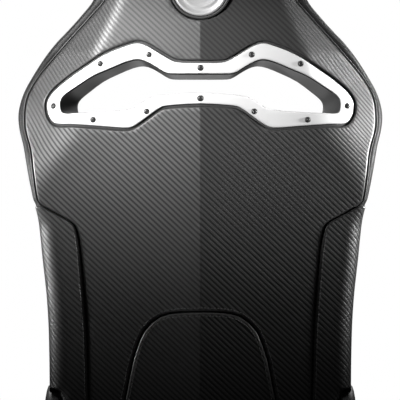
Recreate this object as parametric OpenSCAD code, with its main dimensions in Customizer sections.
// Reclining sports seat with one wide harness slot, on a pair of manual slide rails.
// Millimetres. +Z is up, the occupant faces +Y, and +X is to the right seen from behind.
// The origin is the centre of the four floor bolts, on the floor.

/* [Backrest] */
// Height of the recliner pivot above the floor
pivot_z = 200; // [198:1:204]
// Distance of the recliner pivot behind the floor bolts' centre
pivot_back = 190; // [188:1:192]
// Distance of the spine behind the recliner pivot
spine_back = 68; // [67:1:70]
// Rearward lean of the spine between the pivot and the head
spine_lean = 118; // [108:1:120]
// Forward curl of the spine towards the head
spine_curl = 30; // [24:1:34]
// Slope of the back on each side of the spine, in degrees
spine_slope = 7; // [6:0.5:7.5]
// Slope of the shoulder wings, in degrees
wing_slope = 31; // [28:0.5:31]
// Depth of the backrest from the spine to the front of the centre pad
back_depth = 112; // [110:1:116]
// Wall thickness of the back shell
shell_t = 3; // [2.5:0.5:3]

/* [Harness slot] */
// How much narrower the slot is at the front, as a share of its width
slot_taper = 0.08; // [0.04:0.01:0.1]
// Wall thickness of the slot's liner
liner_t = 2.5; // [2:0.5:3]
// Height of the trim ring over the back's surface
bezel_proud = 1.5; // [1:0.5:2]
// Shadow gap between the trim ring and the shell
bezel_gap = 3.5; // [2:0.5:4]
// Radius of the round emblem plate
emblem_r = 41; // [38:1:42]

/* [Recliner] */
// Thickness of each backrest arm
arm_t = 5; // [4:0.5:5]
// Radius of the pivot bolts
pivot_r = 8; // [7:0.5:8]
// Radius of the recliner covers
cover_r = 60; // [56:1:60]
// Radius of the toothed sector
sector_r = 42; // [40:1:42]

/* [Frame] */
// Radius of the backrest's bent tube
hoop_r = 10.5; // [9:0.5:10.5]
// Wall thickness of the frame's tubes
tube_wall = 1.5; // [1.2:0.1:2]
// Radius of the tubes across the back
cross_r = 8; // [7:0.5:8]
// Radius of the tubes under the pan
pan_tube_r = 11; // [9:0.5:12]
// Thickness of the side frames
side_t = 3; // [2.5:0.5:3]

/* [Rails] */
// Distance between the centre lines of the two rails
rail_pitch = 412; // [412:1:412]
// Length of the lower rails
rail_len = 430; // [420:5:440]
// Distance between the front and rear floor bolts
bolt_pitch = 350; // [340:5:355]
// Radius of the floor bolt holes
bolt_hole_r = 4.5; // [4:0.5:5]
// Radius of the rollers in the rails
roller_r = 2.95; // [2.9:0.01:2.95]

/* [Hidden] */
$fn = 48;

VINYL = [0.24, 0.24, 0.25];
PANEL = [0.20, 0.20, 0.21];
CLOTH = [0.10, 0.10, 0.11];
SILVER = [0.80, 0.81, 0.83];
BLACK = [0.07, 0.07, 0.08];
STEEL = [0.55, 0.56, 0.58];
PAINT = [0.15, 0.15, 0.16];

pivot_y = -pivot_back;
back_h = 785;          // height over which the spine leans and curls
gap = 0.4;             // clearance between neighbouring pieces
fit = 0.05;            // radial clearance of a running fit
centre_w = 124.7;      // half width of the centre pads
bolster_in = centre_w + 0.6;

// Half widths of the back against height: the outline, the shell's edge, the crease of the wings,
// the inner edge of the side panels, and the arch of the lower panel.
OUTLINE = [[262, 230], [299, 230], [356, 231], [404, 234], [452, 239], [485, 242], [513, 245], [534, 249],
    [544, 252], [584, 260], [622, 267], [649, 274], [670, 276], [689, 273], [708, 266], [727, 255], [752, 238],
    [778, 217], [795, 200], [816, 180], [842, 159], [880, 150], [915, 143], [945, 128], [965, 108], [980, 75],
    [985, 50]];
SHELL_EDGE = [[185, 164], [242, 168], [337, 170], [395, 173], [452, 178], [480, 181], [500, 186], [508, 192],
    [515, 203], [525, 222], [536, 240], [541, 244], [580, 250], [618, 255], [649, 264], [674, 265], [695, 262],
    [714, 253], [735, 238], [756, 219], [777, 200], [800, 178], [818, 161], [842, 140], [870, 132], [905, 125],
    [935, 112], [955, 92], [968, 65], [974, 35]];
CREASE = [[185, 290], [470, 290], [542, 243], [594, 212], [647, 174], [700, 160], [760, 153], [775, 145],
    [807, 129], [842, 114], [900, 100], [960, 80], [985, 70]];
PANEL_EDGE = [[205, 168], [242, 170], [337, 172], [395, 175.5], [452, 180], [480, 183], [500, 188], [508, 194],
    [515, 205], [525, 224], [536, 242]];
ARCH = [[185, 121], [242, 113], [296, 102], [325, 93], [343, 85], [358, 72], [367, 58], [371, 44], [373, 25]];
// Height of the bolsters over the centre pads, and where they start to rise.
BOLSTER = [[225, 15], [262, 35], [320, 70], [380, 88], [640, 90], [700, 75], [760, 52], [800, 40], [850, 34],
    [930, 34], [985, 20]];
RISE = [[185, 120], [760, 120], [850, 78], [985, 30]];

// Right half of the trim ring, [x, z] from the top of the spine to its foot: outer edge and slot edge.
RING_OUT = [[0, 745], [33, 746], [48, 752], [66, 763], [80, 771], [94, 774.5], [112, 770], [142, 758], [170, 741],
    [195, 725], [218, 707], [229, 692], [230, 679], [226, 666], [216, 657], [190, 655.5], [150, 652.5],
    [118, 650], [104, 650.5], [94, 655.5], [77, 667.5], [62, 678], [48, 682.5], [0, 685]];
RING_IN = [[0, 729.5], [34, 729.5], [50, 731], [64, 739], [78, 747], [92, 751], [109, 748], [134, 738], [160, 727],
    [185, 712], [202, 701], [209.5, 692], [210, 682], [208, 674.5], [201, 671.5], [184, 672], [145, 673.5],
    [114, 676], [103, 677.5], [95, 681], [84, 688.5], [70, 695.5], [50, 698.5], [0, 701]];
RING_SCREWS = [[0, 738], [76, 758], [149, 745], [220, 683], [160, 662], [80, 674], [0, 693]];
SCREW_R = 2;
EMBLEM_Z = 855;
SLOT_FLOOR = 673;
SLOT_REAR_Y = -330;    // the taper runs between these two planes
SLOT_FRONT_Y = -180;
FLANGE_GAP = 1.8;      // between the shell and the liner's flange
RING_LIFT = 2.4;       // between the pads and the front trim ring

// Right half of the backrest's bent tube, [x, z] from its foot to the top of the head.
HOOP = [[206.5, 272], [206.5, 330], [208, 400], [213, 500], [220, 590], [227, 655], [226, 698], [219, 722],
    [206, 744], [188, 767], [166, 790], [144, 812], [128, 830], [119, 850], [111, 880], [103, 908], [88, 932],
    [62, 946], [30, 951], [0, 952]];
HOOP_TOP = 964;        // the pads close over the hoop above this height
HOOP_OFF = 20;         // the tube's centre line in front of the back's surface
PAD_OFF = 62;          // the centre pads' rear face in front of the back's surface
BOLSTER_OFF = 36;      // the same for the bolsters
WRAP_OFF = 4;
ARM_ROOM = 26;         // the bolsters' foot clears the recliner arms by moving forward this far

// Stack of the recliner, measured from the seat's centre plane.
ARM_X = 190.5;         // inner face of the arms
PLATE_X = 196;         // inner face of the recliner plates
SIDE_X = 199;          // inner face of the side frames
COVER_X = 216;         // inner rim of the covers
TRIM_X = 240;          // outer face of the side trims
SIDE_TOP = 148;        // top edge of the side frames
PAWL_AT = [51, -36];   // pawl pin from the pivot, [y, z]
SHAFT_AT = [70, -80];  // release shaft from the pivot
SHAFT_R = 6;
BAR_Y = 100;           // pivot of the slide bar
BAR_Z = 34;
BAR_R = 7;
BAR_X = 180;
TOOTH = 5;             // pitch of the sector's teeth, in degrees

rail_x = rail_pitch / 2;
RAIL_W = 40;
RAIL_H = 13;
RAIL_T = 2;
FLANGE_Z = 8;

// ---------- curves ----------

function smooth(t) = let (s = min(1, max(0, t))) s * s * (3 - 2 * s);
function knot(k, v, i = 0) = (i >= len(k) - 2 || v < k[i + 1][0]) ? i : knot(k, v, i + 1);
function chord(k, a, b) = (k[b][1] - k[a][1]) / (k[b][0] - k[a][0]);
function knot_slope(k, i) = chord(k, max(0, i - 1), min(len(k) - 1, i + 1));
// Smooth curve through [position, value] knots
function curve(k, v) =
    let (c = min(max(v, k[0][0]), k[len(k) - 1][0]), i = knot(k, c), h = k[i + 1][0] - k[i][0],
         t = (c - k[i][0]) / h, a = knot_slope(k, i) * h, b = knot_slope(k, i + 1) * h)
    (2 * t ^ 3 - 3 * t ^ 2 + 1) * k[i][1] + (t ^ 3 - 2 * t ^ 2 + t) * a
    + (3 * t ^ 2 - 2 * t ^ 3) * k[i + 1][1] + (t ^ 3 - t ^ 2) * b;
// Point at t on the smooth curve from b to c, with a before and d after
function span(a, b, c, d, t) =
    0.5 * (2 * b + (c - a) * t + (2 * a - 5 * b + 4 * c - d) * t ^ 2 + (3 * b - a - 3 * c + d) * t ^ 3);
function closed_curve(p, k) = let (n = len(p))
    [for (i = [0:n - 1]) for (j = [0:k - 1]) span(p[(i + n - 1) % n], p[i], p[(i + 1) % n], p[(i + 2) % n], j / k)];
function both_sides(half) = concat(half, [for (i = [len(half) - 2:-1:1]) [-half[i][0], half[i][1]]]);
// A clockwise loop moved outwards by d
function grown(l, d) = let (n = len(l))
    [for (i = [0:n - 1]) let (v = l[(i + 1) % n] - l[(i + n - 1) % n]) l[i] + d * [-v[1], v[0]] / norm(v)];
function mirrored(xs) = [for (i = [len(xs) - 1:-1:1]) -xs[i], for (x = xs) x];
function steps(a, b, n) = [for (i = [0:n]) a + (b - a) * i / n];
function reversed(l) = [for (i = [len(l) - 1:-1:0]) l[i]];

// ---------- the back's surfaces ----------

function spine_y(z) = let (t = (z - pivot_z) / back_h)
    pivot_y - spine_back - spine_lean * t + spine_curl * t ^ 2 + 18 * (max(0, z - 930) / 55) ^ 2;
function bend(d, soft) = d <= 0 ? 0 : d < soft ? d ^ 2 / (2 * soft) : d - soft / 2;
function crease_soft(z) = 60 - 52 * smooth((z - 640) / 110);
function rear_y(x, z) = spine_y(z) + abs(x) * tan(spine_slope)
    + (tan(wing_slope) - tan(spine_slope)) * bend(abs(x) - curve(CREASE, z), crease_soft(z));
function front_y(x, z) = let (from = curve(RISE, z))
    spine_y(z) + back_depth + curve(BOLSTER, z) * smooth((abs(x) - from) / max(24, curve(OUTLINE, z) - 22 - from));
function pad_rear_y(x, z) = rear_y(x, z) + PAD_OFF - (PAD_OFF - BOLSTER_OFF) * smooth((abs(x) - 130) / 40);
// A point of the harness slot's wall where it crosses the plane at depth y
function slot_point(p, y) = let (s = (y - SLOT_REAR_Y) / (SLOT_FRONT_Y - SLOT_REAR_Y), k = 1 - slot_taper * s)
    [p[0] * k, SLOT_FLOOR + (p[1] - SLOT_FLOOR) * k];
// An [x, z] loop laid on the rear surface, and one laid on the front surface
function on_rear(l, off) = [for (p = l) [p[0], rear_y(p[0], p[1]) + off, p[1]]];
function on_front(l, off) = [for (p = l) let (q = slot_point(p, front_y(p[0], p[1]))) [q[0], front_y(q[0], q[1]) + off, q[1]]];

ring_out = closed_curve(both_sides(RING_OUT), 2);
ring_in = closed_curve(both_sides(RING_IN), 2);
screw_spots = concat(RING_SCREWS, [for (i = [1:5]) [-RING_SCREWS[i][0], RING_SCREWS[i][1]]]);

// ---------- building blocks ----------

// Solid through closed sections of equal length, counter-clockwise seen from the last one
module loft(sections) {
    n = len(sections[0]);
    m = len(sections);
    sides = [for (j = [0:m - 2]) for (i = [0:n - 1])
        [j * n + i, (j + 1) * n + i, (j + 1) * n + (i + 1) % n, j * n + (i + 1) % n]];
    polyhedron([for (s = sections) each s], concat(sides, [[for (i = [0:n - 1]) i]], [[for (i = [n - 1:-1:0]) (m - 1) * n + i]]));
}

// Closed ring whose cross-section passes through matching loops
module ring(loops) {
    n = len(loops[0]);
    m = len(loops);
    polyhedron([for (l = loops) each l], [for (j = [0:m - 1]) for (i = [0:n - 1])
        [j * n + i, j * n + (i + 1) % n, ((j + 1) % m) * n + (i + 1) % n, ((j + 1) % m) * n + i]]);
}

// Circles of radius r across a path that lies nearly in a plane of constant y
function hoops(path, r, sides = 12) = let (n = len(path)) [for (i = [0:n - 1])
    let (t = path[min(n - 1, i + 1)] - path[max(0, i - 1)], u = cross(t, [0, 1, 0]), a = u / norm(u),
         w = cross(a, t), b = w / norm(w))
    [for (k = [0:sides - 1]) path[i] + r * (cos(360 * k / sides) * a - sin(360 * k / sides) * b)]];

// Pipe of outer radius r along such a path
module pipe_along(path, r, wall) {
    ring(concat(hoops(path, r), reversed(hoops(path, r - wall))));
}

module pipe_x(x0, x1, r, wall) {
    difference() {
        rod_x(x0, x1, r);
        rod_x(x0 - 1, x1 + 1, r - wall);
    }
}

// Children on the back's surface, their +Z pointing out of it
module on_back(x, z) {
    fx = (rear_y(x + 1, z) - rear_y(x - 1, z)) / 2;
    fz = (rear_y(x, z + 1) - rear_y(x, z - 1)) / 2;
    n = [fx, -1, fz] / norm([fx, -1, fz]);
    translate([x, rear_y(x, z), z]) rotate([0, acos(n[2]), atan2(n[1], n[0])]) children();
}

// Prism along Y of an [x, z] loop
module y_prism(loop, y0, y1) {
    loft([[for (p = loop) [p[0], y0, p[1]]], [for (p = loop) [p[0], y1, p[1]]]]);
}

// Plate in the YZ plane, its outline given around the recliner pivot
module side_plate(x, t) {
    translate([x, pivot_y, pivot_z]) rotate([90, 0, 90]) linear_extrude(t) children();
}

module rod_x(x0, x1, r) {
    translate([x0, 0, 0]) rotate([0, 90, 0]) cylinder(r = r, h = x1 - x0);
}

module at_pivot(p = [0, 0]) {
    translate([0, pivot_y + p[0], pivot_z + p[1]]) children();
}

module left_and_right() {
    children();
    mirror([1, 0, 0]) children();
}

// A curved skin with openings, finished as one mesh
module skin() {
    resize([0, 0, 0]) children();
}

// The room that the slot's liner takes, run on straight to two planes
module slot_cut() {
    wall = grown(ring_in, liner_t + gap + 0.9);
    rear = on_rear(wall, 0);
    front = on_front(wall, 0);
    loft([for (y = [-420, -60]) [for (i = [0:len(wall) - 1])
        rear[i] + (front[i] - rear[i]) * (y - rear[i][1]) / (front[i][1] - rear[i][1])]]);
}

// ---------- back shell and trim ----------

function shell_columns(z) = let (w = curve(SHELL_EDGE, z), r = min(curve(CREASE, z), 0.9 * w))
    concat(steps(0, r, 5), [for (i = [1:4]) r + (w - r) * i / 4]);
function slab(xs, z, off, t) = concat([for (x = xs) [x, rear_y(x, z) + off, z]],
    [for (x = reversed(xs)) [x, rear_y(x, z) + off + t, z]]);

module back_shell() color(VINYL) skin() difference() {
    rows = concat(steps(185, 480, 8), steps(495, 541, 7), steps(560, 930, 20), steps(940, 974, 4));
    loft([for (z = rows) slab(mirrored(shell_columns(z)), z, 0, shell_t)]);
    y_prism(grown(ring_out, bezel_gap), -420, -150);
    on_back(0, EMBLEM_Z) cylinder(r = emblem_r + 5.3, h = 60, center = true);
    arch = concat([[-ARCH[0][0] - 1.2, 150]], [for (k = ARCH) [-k[1] - 1.2, k[0] + 1.2]],
        [for (k = reversed(ARCH)) [k[1] + 1.2, k[0] + 1.2]], [[ARCH[0][0] + 1.2, 150]]);
    y_prism(arch, -420, -150);
}

module lower_back_panel() color(PANEL)
    loft([for (k = ARCH) slab(mirrored(steps(0, k[1], 6)), k[0], 0, shell_t)]);

// The side panel's section: along the back, round the corner and forward along the side
function panel_path(z, in) =
    let (w = z < 264 ? 213 : curve(OUTLINE, z), e = curve(PANEL_EDGE, z), r = min(25, (w - e) * 0.45), c = w - r,
         y = rear_y(c, z) - 1.5)
    concat([for (x = steps(e, c, 3)) [x, rear_y(x, z) - 1.5 + in, z]],
        [for (a = [-72:18:0]) [c + (r - in) * cos(a), y + r + (r - in) * sin(a), z]],
        [[w - in, spine_y(z) + 104, z]]);

module side_panel() color(PANEL) skin() {
    rows = concat([210, 235, 262, 270], steps(300, 480, 5), [496, 508, 518, 530]);
    loft([for (z = rows) concat(panel_path(z, 0), reversed(panel_path(z, 2.5)))]);
}
module side_panel_right() side_panel();
module side_panel_left() mirror([1, 0, 0]) side_panel();

module screw_holes() for (s = screw_spots) on_back(s[0], s[1]) cylinder(r = SCREW_R + fit, h = 40, center = true);

module rear_bezel() color(SILVER) difference() {
    ring([on_rear(ring_out, -bezel_proud + 0.8), on_rear(grown(ring_out, -2), -bezel_proud),
        on_rear(grown(ring_in, 2), -bezel_proud), on_rear(ring_in, 0), on_rear(ring_in, shell_t), on_rear(ring_out, shell_t)]);
    screw_holes();
}

module slot_liner() color(BLACK) difference() {
    wall = grown(ring_in, liner_t);
    back = shell_t + FLANGE_GAP;
    flange = grown(ring_out, 8);
    ring([on_rear(flange, back), on_rear(ring_in, back), on_front(ring_in, -gap), on_front(wall, -gap),
        on_rear(wall, back + liner_t), on_rear(flange, back + liner_t)]);
    screw_holes();
}

module front_bezel() color(SILVER)
    ring([on_front(ring_in, RING_LIFT), on_front(ring_in, 4), on_front(grown(ring_in, 3), 5.5),
        on_front(grown(ring_in, 11), 5.5), on_front(grown(ring_in, 13), 4), on_front(grown(ring_in, 13), RING_LIFT)]);

module bezel_screws() color(BLACK) for (s = screw_spots) on_back(s[0], s[1]) {
    translate([0, 0, bezel_proud + 0.2]) cylinder(r1 = 3.8, r2 = 2.6, h = 2);
    translate([0, 0, -12]) cylinder(r = SCREW_R, h = 12 + bezel_proud + 0.4);
}

module emblem_ring() color(BLACK) on_back(0, EMBLEM_Z)
    rotate_extrude() polygon([[emblem_r + 0.6, -8], [emblem_r + 5, -8], [emblem_r + 5, 2], [emblem_r + 4, 3],
        [emblem_r + 1.6, 3], [emblem_r + 0.6, 1.6]]);

module emblem_disc() color(SILVER) on_back(0, EMBLEM_Z)
    rotate_extrude() polygon([[0, -6], [emblem_r, -6], [emblem_r, 2], [emblem_r - 3, 2.8], [emblem_r * 0.72, 1.6],
        [emblem_r * 0.4, 1.2], [0, 1.2]]);

// ---------- frame of the back ----------

function hoop_point(p) = [p[0], rear_y(p[0], p[1]) + HOOP_OFF, p[1]];
hoop_path = [for (p = concat(HOOP, [for (i = [len(HOOP) - 2:-1:0]) [-HOOP[i][0], HOOP[i][1]]])) hoop_point(p)];
function hoop_x(z) = lookup(z, [for (i = [0:9]) [HOOP[i][1], HOOP[i][0]]]);
function hoop_y(z) = rear_y(hoop_x(z), z) + HOOP_OFF;

module back_hoop() color(PAINT) pipe_along(hoop_path, hoop_r, tube_wall);

module back_cross_tubes() color(PAINT) {
    translate([0, hoop_y(300), 300]) pipe_x(-ARM_X, ARM_X, cross_r, tube_wall);
    translate([0, hoop_y(612), 612]) pipe_x(hoop_r - hoop_x(612), hoop_x(612) - hoop_r, cross_r, tube_wall);
    translate([0, rear_y(144, 812) + HOOP_OFF, 812]) pipe_x(-133.6, 133.6, cross_r, tube_wall);
}

module back_wires() color(STEEL) {
    for (z = [370:45:550]) translate([0, hoop_y(z) + 8, z]) rod_x(5 - hoop_x(z), hoop_x(z) - 5, 1.6);
    for (x = [-90, 90]) hull() for (z = [365, 555]) translate([x, hoop_y(z) + 11, z]) sphere(r = 1.6, $fn = 16);
}

module sector_outline() {
    polygon([for (a = [0:TOOTH / 2:359]) let (toothed = a > 200 && a < 350, tip = (a / TOOTH) % 1 > 0.25)
        (sector_r + (toothed && tip ? 3 : 0)) * [cos(a), sin(a)]]);
}

module recliner_arm() color(STEEL) {
    foot = [hoop_y(300) - pivot_y, 300 - pivot_z];
    head = [hoop_y(345) - pivot_y, 345 - pivot_z];
    difference() {
        union() {
            side_plate(ARM_X, arm_t) {
                sector_outline();
                hull() {
                    circle(r = sector_r - 6, $fn = 32);
                    translate(foot) circle(r = 17, $fn = 32);
                }
            }
            side_plate(ARM_X, arm_t + 1) hull() {
                translate(foot) circle(r = 17, $fn = 32);
                translate(head) circle(r = 15, $fn = 32);
            }
            at_pivot([0, sector_r - 8]) rod_x(ARM_X - 12, ARM_X + 1, 3);
        }
        at_pivot() rod_x(ARM_X - 1, ARM_X + arm_t + 1, pivot_r + fit);
    }
}
module recliner_arm_right() recliner_arm();
module recliner_arm_left() mirror([1, 0, 0]) recliner_arm();

module recline_springs() color(STEEL) left_and_right() side_plate(ARM_X - 11, 6) {
    turns = 3;
    line = [for (i = [0:18 * turns]) let (a = 90 + 20 * i, r = 30.6 - 17 * (1 - i / (18 * turns)))
        r * [cos(a), sin(a)]];
    edge = [for (i = [0:18 * turns]) let (a = 90 + 20 * i, r = 28.8 - 17 * (1 - i / (18 * turns)))
        r * [cos(a), sin(a)]];
    polygon(concat(line, reversed(edge)));
}

// ---------- pads of the back ----------

// Section of a centre pad of half width w; wrap closes its sides back to the shell's edge
function pad_section(w, z, wrap) =
    let (f = [-1, -0.97, -0.8, -0.4, 0, 0.4, 0.8, 0.97, 1], edge = curve(SHELL_EDGE, z))
    concat([for (s = f) let (x = s * w, closed = wrap && (z > HOOP_TOP || abs(x) > edge - 4))
            [x, closed ? rear_y(min(abs(x), edge), z) + WRAP_OFF : pad_rear_y(x, z), z]],
        [for (s = reversed(f)) let (x = s * w) [x, front_y(x, z) - (wrap && abs(s) == 1 ? 16 : 0), z]]);

module head_pad() color(CLOTH) skin() difference() {
    loft(concat([for (z = concat(steps(712.6, 800, 4))) pad_section(centre_w, z, false)],
        [for (z = concat([801], steps(812, 930, 7), [948, 963, 974, 983])) pad_section(curve(OUTLINE, z), z, true)]));
    slot_cut();
}
module upper_centre_pad() color(CLOTH) skin() difference() {
    loft([for (z = steps(450, 706, 8)) pad_section(centre_w, z, false)]);
    slot_cut();
}
module lower_centre_pad() color(CLOTH)
    loft([for (z = concat([232, 236, 244], steps(265, 449.6, 5))) pad_section(centre_w, z, false)]);

// Section of a right-hand bolster, from the centre pad out to half width w; a plain one clears the arm
function bolster_section(w, z, wrap) =
    let (edge = wrap ? curve(SHELL_EDGE, z) - 3 : w - 1, x0 = bolster_in, crest = w - 22,
         room = wrap ? 0 : ARM_ROOM * smooth((350 - z) / 50),
         y_wrap = wrap ? rear_y(edge + 3, z) + WRAP_OFF : pad_rear_y(w, z) + 6 + room, top = front_y(w, z))
    concat([for (x = steps(x0, edge, 3)) [x, pad_rear_y(x, z) + room, z]],
        [[edge + 0.8, y_wrap, z], [w - 0.1, y_wrap + 3, z], [w, (y_wrap + top) / 2, z], [w - 2, top - 18, z],
         [w - 9, top - 5, z]],
        [for (x = steps(crest, x0, 5)) [x, front_y(x, z), z]]);

module shoulder_bolster() color(CLOTH) skin() difference() {
    loft([for (z = concat([541.4], steps(552, 792, 12), [799])) bolster_section(curve(OUTLINE, z), z, true)]);
    slot_cut();
}
module shoulder_bolster_right() shoulder_bolster();
module shoulder_bolster_left() mirror([1, 0, 0]) shoulder_bolster();

module side_bolster() color(CLOTH)
    loft([for (z = concat([271, 276], steps(290, 541, 9))) bolster_section(curve(OUTLINE, z) - 4.8, z, false)]);
module side_bolster_right() side_bolster();
module side_bolster_left() mirror([1, 0, 0]) side_bolster();

// ---------- seat base ----------

module side_frame() color(PAINT) difference() {
    side_plate(SIDE_X, side_t) {
        polygon([[-25, 16 - pivot_z], [405, 16 - pivot_z], [420, 60 - pivot_z], [425, SIDE_TOP - pivot_z - 30],
            [415, SIDE_TOP - pivot_z], [85, SIDE_TOP - pivot_z], [40, -18], [-28, -32], [-33, -140]]);
        circle(r = 42);
    }
    at_pivot() rod_x(SIDE_X - 1, SIDE_X + side_t + 1, pivot_r + 0.02);
    at_pivot(PAWL_AT) rod_x(SIDE_X - 1, SIDE_X + side_t + 1, 5.02);
    at_pivot(SHAFT_AT) rod_x(SIDE_X - 1, SIDE_X + side_t + 1, SHAFT_R + fit);
    for (y = [-150, 150]) translate([0, y, 27]) rod_x(SIDE_X - 1, SIDE_X + side_t + 1, 4.05);
    translate([0, BAR_Y, BAR_Z]) rod_x(SIDE_X - 1, SIDE_X + side_t + 1, 5.02);
    for (y = [-40, 50, 170]) translate([0, y, 92]) rod_x(SIDE_X - 1, SIDE_X + side_t + 1, 24);
}
module side_frame_right() side_frame();
module side_frame_left() mirror([1, 0, 0]) side_frame();

module pan_front_tube() color(PAINT) translate([0, 215, 108]) pipe_x(-SIDE_X, SIDE_X, pan_tube_r, tube_wall);
module pan_rear_tube() color(PAINT) translate([0, -85, 88]) pipe_x(-SIDE_X, SIDE_X, pan_tube_r, tube_wall);

module seat_pan() color(PAINT) rotate([90, 0, 90]) translate([0, 0, -SIDE_X]) linear_extrude(2 * SIDE_X)
    polygon([[-105, 130], [-70, 119], [140, 127], [222, 148], [238, 146], [246, 124], [248, 124.6], [240, 148],
        [222, 150], [139, 129], [-70, 121], [-104.5, 132]]);

// Top of the cushion's centre and of its bolsters against y
CUSHION_TOP = [[-108, 224], [-90, 230], [-40, 226], [60, 224], [140, 232], [220, 243], [262, 236], [284, 205]];
CUSHION_BASE = [[-108, 136], [-60, 126], [40, 128], [140, 133], [222, 152], [250, 152], [284, 160]];
THIGH_TOP = [[-100, 232], [-54, 248], [0, 266], [60, 284], [160, 292], [230, 284], [262, 262], [280, 215]];

function cushion_section(y, w) = let (b = curve(CUSHION_BASE, y), t = curve(CUSHION_TOP, y))
    [[-w, y, b], [-w, y, t - 2], [-w * 0.7, y, t], [0, y, t + 1], [w * 0.7, y, t], [w, y, t - 2], [w, y, b]];

module cushion_pad() color(CLOTH) loft([for (y = concat([-108, -102], steps(-90, 175, 9))) cushion_section(y, centre_w)]);
module cushion_front_roll() color(CLOTH)
    loft([for (y = concat(steps(175.6, 262, 5), [270, 277, 282])) cushion_section(y, centre_w)]);

module thigh_bolster() color(CLOTH)
    loft([for (y = concat([-104, -98], steps(-80, 262, 12), [271, 278]))
        let (t = curve(THIGH_TOP, y), c = curve(CUSHION_TOP, y), w = 242.4 - 13 * smooth((y - 200) / 80), b = 152)
        [[bolster_in, y, b], [bolster_in, y, c - 1], [150, y, c + (t - c) * 0.25], [175, y, c + (t - c) * 0.8],
         [198, y, t], [222, y, t], [w - 10, y, t - 12], [w, y, t - 32], [w, y, b + 12], [w - 8, y, b]]]);
module thigh_bolster_right() thigh_bolster();
module thigh_bolster_left() mirror([1, 0, 0]) thigh_bolster();

module side_trim() color(BLACK) difference() {
    union() {
        difference() {
            translate([COVER_X, -150, 46]) cube([TRIM_X - COVER_X, 385, 104]);
            translate([COVER_X - 1, -160, 49]) cube([TRIM_X - COVER_X - 1.5, 392, 98]);
        }
        for (y = [-60, 40, 200]) translate([0, y, 135]) rod_x(SIDE_X + side_t, TRIM_X - 1, 6);
    }
    at_pivot() rod_x(COVER_X - 2, TRIM_X + 1, cover_r + 2);
    at_pivot(SHAFT_AT) rod_x(COVER_X - 2, TRIM_X + 1, SHAFT_R + 2);
}
module side_trim_right() side_trim();
module side_trim_left() mirror([1, 0, 0]) side_trim();

module recliner_plates() color(STEEL) left_and_right() difference() {
    side_plate(PLATE_X, SIDE_X - PLATE_X) hull() {
        circle(r = 42);
        translate(PAWL_AT) circle(r = 14);
    }
    at_pivot() rod_x(PLATE_X - 1, SIDE_X + 1, pivot_r + 0.02);
    at_pivot(PAWL_AT) rod_x(PLATE_X - 1, SIDE_X + 1, 5.02);
}

module pivot_bolts() color(STEEL) left_and_right() at_pivot() {
    rod_x(ARM_X - 12, SIDE_X + side_t + 1, pivot_r);
    rod_x(SIDE_X + side_t, SIDE_X + side_t + 7, 13);
    rod_x(ARM_X - 5, ARM_X - 0.5, 12);
}

module pawl_pins() color(STEEL) left_and_right() at_pivot(PAWL_AT) {
    rod_x(ARM_X - 3, SIDE_X + side_t + 3, 5);
    rod_x(ARM_X - 4, ARM_X - 0.5, 7.5);
}

module bar_pins() color(STEEL) left_and_right() translate([0, BAR_Y, BAR_Z]) {
    rod_x(BAR_X - 11, SIDE_X + side_t, 5);
    rod_x(BAR_X - 12, BAR_X - 8.5, 8);
}

module recliner_cover() color(BLACK) at_pivot() rotate([0, 90, 0]) translate([0, 0, COVER_X]) {
    rotate_extrude($fn = 64) polygon([[cover_r, 0], [cover_r, 10], [cover_r - 1, 14], [cover_r - 4, 17.5],
        [cover_r - 10, 19.5], [cover_r - 18, 21], [cover_r - 35, 23.5], [6, 24.5], [6, 22], [cover_r - 35, 21],
        [cover_r - 18, 18.5], [cover_r - 9, 17], [cover_r - 5, 14.5], [cover_r - 2.5, 10], [cover_r - 2.5, 0]]);
    translate([0, 0, SIDE_X + side_t + 7 - COVER_X]) cylinder(r = 7, h = COVER_X + 23 - SIDE_X - side_t - 7);
}
module recliner_cover_right() recliner_cover();
module recliner_cover_left() mirror([1, 0, 0]) recliner_cover();

// ---------- recliner release ----------

module pawl() color(STEEL) difference() {
    side_plate(ARM_X, arm_t) union() {
        translate(PAWL_AT) circle(r = 10);
        polygon(concat([for (a = [-26:-6:-86]) (sector_r + 4) * [cos(a), sin(a)]],
            [for (a = [-86:6:-26]) (sector_r + 18) * [cos(a), sin(a)]]));
        polygon([PAWL_AT + [-8, -5], PAWL_AT + [7, 2], PAWL_AT + [15, -26], PAWL_AT + [7, -27]]);
    }
    at_pivot(PAWL_AT) rod_x(ARM_X - 1, ARM_X + arm_t + 1, 5 + fit);
}
module pawl_right() pawl();
module pawl_left() mirror([1, 0, 0]) pawl();

module release_shaft() color(STEEL) at_pivot(SHAFT_AT) rod_x(-TRIM_X - 8, SIDE_X + side_t + 4, SHAFT_R);

module release_cams() color(STEEL) left_and_right() difference() {
    side_plate(ARM_X, arm_t) union() {
        translate(SHAFT_AT) circle(r = 10);
        polygon([SHAFT_AT + [-9, 3], SHAFT_AT + [3, 9], SHAFT_AT + [-4, 15], SHAFT_AT + [-10, 12]]);
    }
    at_pivot(SHAFT_AT) rod_x(ARM_X - 1, ARM_X + arm_t + 1, SHAFT_R);
}

module lever_arm() color(PAINT) difference() {
    side_plate(-TRIM_X - 8, 5) hull() {
        translate(SHAFT_AT) circle(r = 12, $fn = 32);
        translate(SHAFT_AT + [82, 22]) circle(r = 8, $fn = 32);
    }
    at_pivot(SHAFT_AT) rod_x(-TRIM_X - 9, -TRIM_X - 2, SHAFT_R);
}

module lever_grip() color(BLACK) side_plate(-TRIM_X - 13.4, 5) hull() {
    translate(SHAFT_AT + [52, 14]) circle(r = 11, $fn = 32);
    translate(SHAFT_AT + [142, 36]) circle(r = 13, $fn = 32);
}

// ---------- slide bar ----------

BAR_FRONT = 296;
BAR_RISE = 12;

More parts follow.
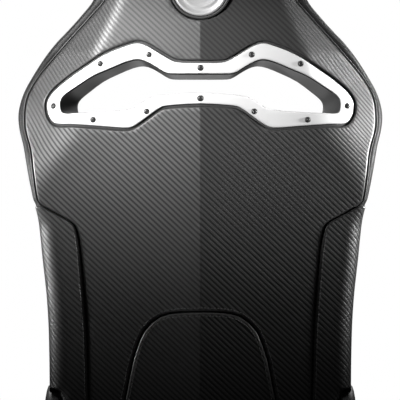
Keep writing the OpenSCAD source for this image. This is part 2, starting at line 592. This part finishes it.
module slide_bar() color(PAINT) {
    a = atan2(BAR_RISE, BAR_FRONT - BAR_Y);
    run = norm([BAR_FRONT - BAR_Y, BAR_RISE]) - 30;
    difference() {
        translate([0, BAR_Y, BAR_Z]) rotate([a, 0, 0]) {
            left_and_right() {
                translate([BAR_X, 0, 0]) rotate([-90, 0, 0]) cylinder(r = BAR_R, h = run);
                translate([BAR_X - 30, run, 0]) rotate_extrude(angle = 90) translate([30, 0]) circle(r = BAR_R);
            }
            translate([0, run + 30, 0]) rod_x(-BAR_X + 30, BAR_X - 30, BAR_R);
            left_and_right() rod_x(BAR_X - 8, BAR_X + 8, 9.5);
        }
        translate([0, BAR_Y, BAR_Z]) rod_x(-BAR_X - 9, -BAR_X + 9, 5 + fit);
        translate([0, BAR_Y, BAR_Z]) rod_x(BAR_X - 9, BAR_X + 9, 5 + fit);
    }
}

module slide_bar_grip() color(BLACK) translate([0, BAR_Y, BAR_Z]) rotate([atan2(BAR_RISE, BAR_FRONT - BAR_Y), 0, 0])
    translate([0, norm([BAR_FRONT - BAR_Y, BAR_RISE]), 0]) difference() {
        rod_x(-80, 80, BAR_R + 3);
        rod_x(-81, 81, BAR_R);
    }

module latch_plates() color(STEEL) left_and_right() translate([BAR_X + 8.2, BAR_Y, BAR_Z]) rotate([90, 0, 90])
    linear_extrude(5.4) difference() {
        union() {
            circle(r = 9);
            polygon([[-8, -6], [10, 6], [52, 2], [52, -14], [14, -14]]);
            for (y = [18:10:48]) translate([y - 2.5, -18]) square([5, 6]);
        }
        circle(r = 5.1);
    }

// ---------- rails ----------

module lower_rail() color(STEEL) difference() {
    translate([rail_x, rail_len / 2, 0]) rotate([90, 0, 0]) linear_extrude(rail_len) {
        w = RAIL_W / 2;
        polygon([[-w, 0], [w, 0], [w, RAIL_H], [8, RAIL_H], [8, RAIL_H - RAIL_T], [w - RAIL_T, RAIL_H - RAIL_T],
            [w - RAIL_T, RAIL_T], [RAIL_T - w, RAIL_T], [RAIL_T - w, RAIL_H - RAIL_T], [-8, RAIL_H - RAIL_T],
            [-8, RAIL_H], [-w, RAIL_H]]);
    }
    for (y = [-bolt_pitch / 2, bolt_pitch / 2]) translate([rail_x, y, -1]) cylinder(r = bolt_hole_r, h = RAIL_T + 2);
}
module lower_rail_right() lower_rail();
module lower_rail_left() mirror([1, 0, 0]) lower_rail();

module rail_end_stops() color(BLACK) left_and_right() for (y = [-rail_len / 2 + 2, rail_len / 2 - 12])
    translate([rail_x - RAIL_W / 2 + RAIL_T, y, RAIL_T]) cube([RAIL_W - 2 * RAIL_T, 10, FLANGE_Z - RAIL_T - 0.6]);

ROLLER_SPOTS = [-90, -60, 60, 90];
module roller_cages() color(BLACK) left_and_right() difference() {
    translate([rail_x - 12, -100, RAIL_T + 2]) cube([24, 200, 2]);
    for (y = ROLLER_SPOTS) translate([rail_x - 9, y - roller_r - 0.2, 0]) cube([18, 2 * roller_r + 0.4, 10]);
}
module rail_rollers() color(STEEL) left_and_right() for (y = ROLLER_SPOTS)
    translate([0, y, RAIL_T + roller_r + fit / 2]) rod_x(rail_x - 8.5, rail_x + 8.5, roller_r);

module upper_rail() color(STEEL) difference() {
    translate([rail_x, 200, 0]) rotate([90, 0, 0]) linear_extrude(400)
        polygon([[-15, FLANGE_Z], [15, FLANGE_Z], [15, FLANGE_Z + 2.4], [4, FLANGE_Z + 2.4], [4, 40], [-4, 40],
            [-4, FLANGE_Z + 2.4], [-15, FLANGE_Z + 2.4]]);
    for (y = [-150, 150]) translate([0, y, 27]) rod_x(rail_x - 6, rail_x + 6, 4.05);
}
module upper_rail_right() upper_rail();
module upper_rail_left() mirror([1, 0, 0]) upper_rail();

module rail_bolts() color(STEEL) left_and_right() for (y = [-150, 150]) translate([0, y, 27]) {
    rod_x(SIDE_X - 1, rail_x + 10, 4);
    rod_x(SIDE_X - 5, SIDE_X, 6.5);
    rod_x(rail_x + 4, rail_x + 8, 6.5);
}

lower_rail_left();
lower_rail_right();
rail_end_stops();
roller_cages();
rail_rollers();
upper_rail_left();
upper_rail_right();
rail_bolts();
side_frame_left();
side_frame_right();
pan_front_tube();
pan_rear_tube();
seat_pan();
cushion_pad();
cushion_front_roll();
thigh_bolster_left();
thigh_bolster_right();
side_trim_left();
side_trim_right();
recliner_plates();
pivot_bolts();
pawl_pins();
bar_pins();
recliner_cover_left();
recliner_cover_right();
release_shaft();
release_cams();
lever_arm();
lever_grip();
pawl_left();
pawl_right();
slide_bar();
slide_bar_grip();
latch_plates();
back_shell();
side_panel_left();
side_panel_right();
lower_back_panel();
rear_bezel();
bezel_screws();
slot_liner();
front_bezel();
emblem_ring();
emblem_disc();
back_hoop();
back_cross_tubes();
back_wires();
recliner_arm_left();
recliner_arm_right();
recline_springs();
head_pad();
upper_centre_pad();
lower_centre_pad();
shoulder_bolster_left();
shoulder_bolster_right();
side_bolster_left();
side_bolster_right();
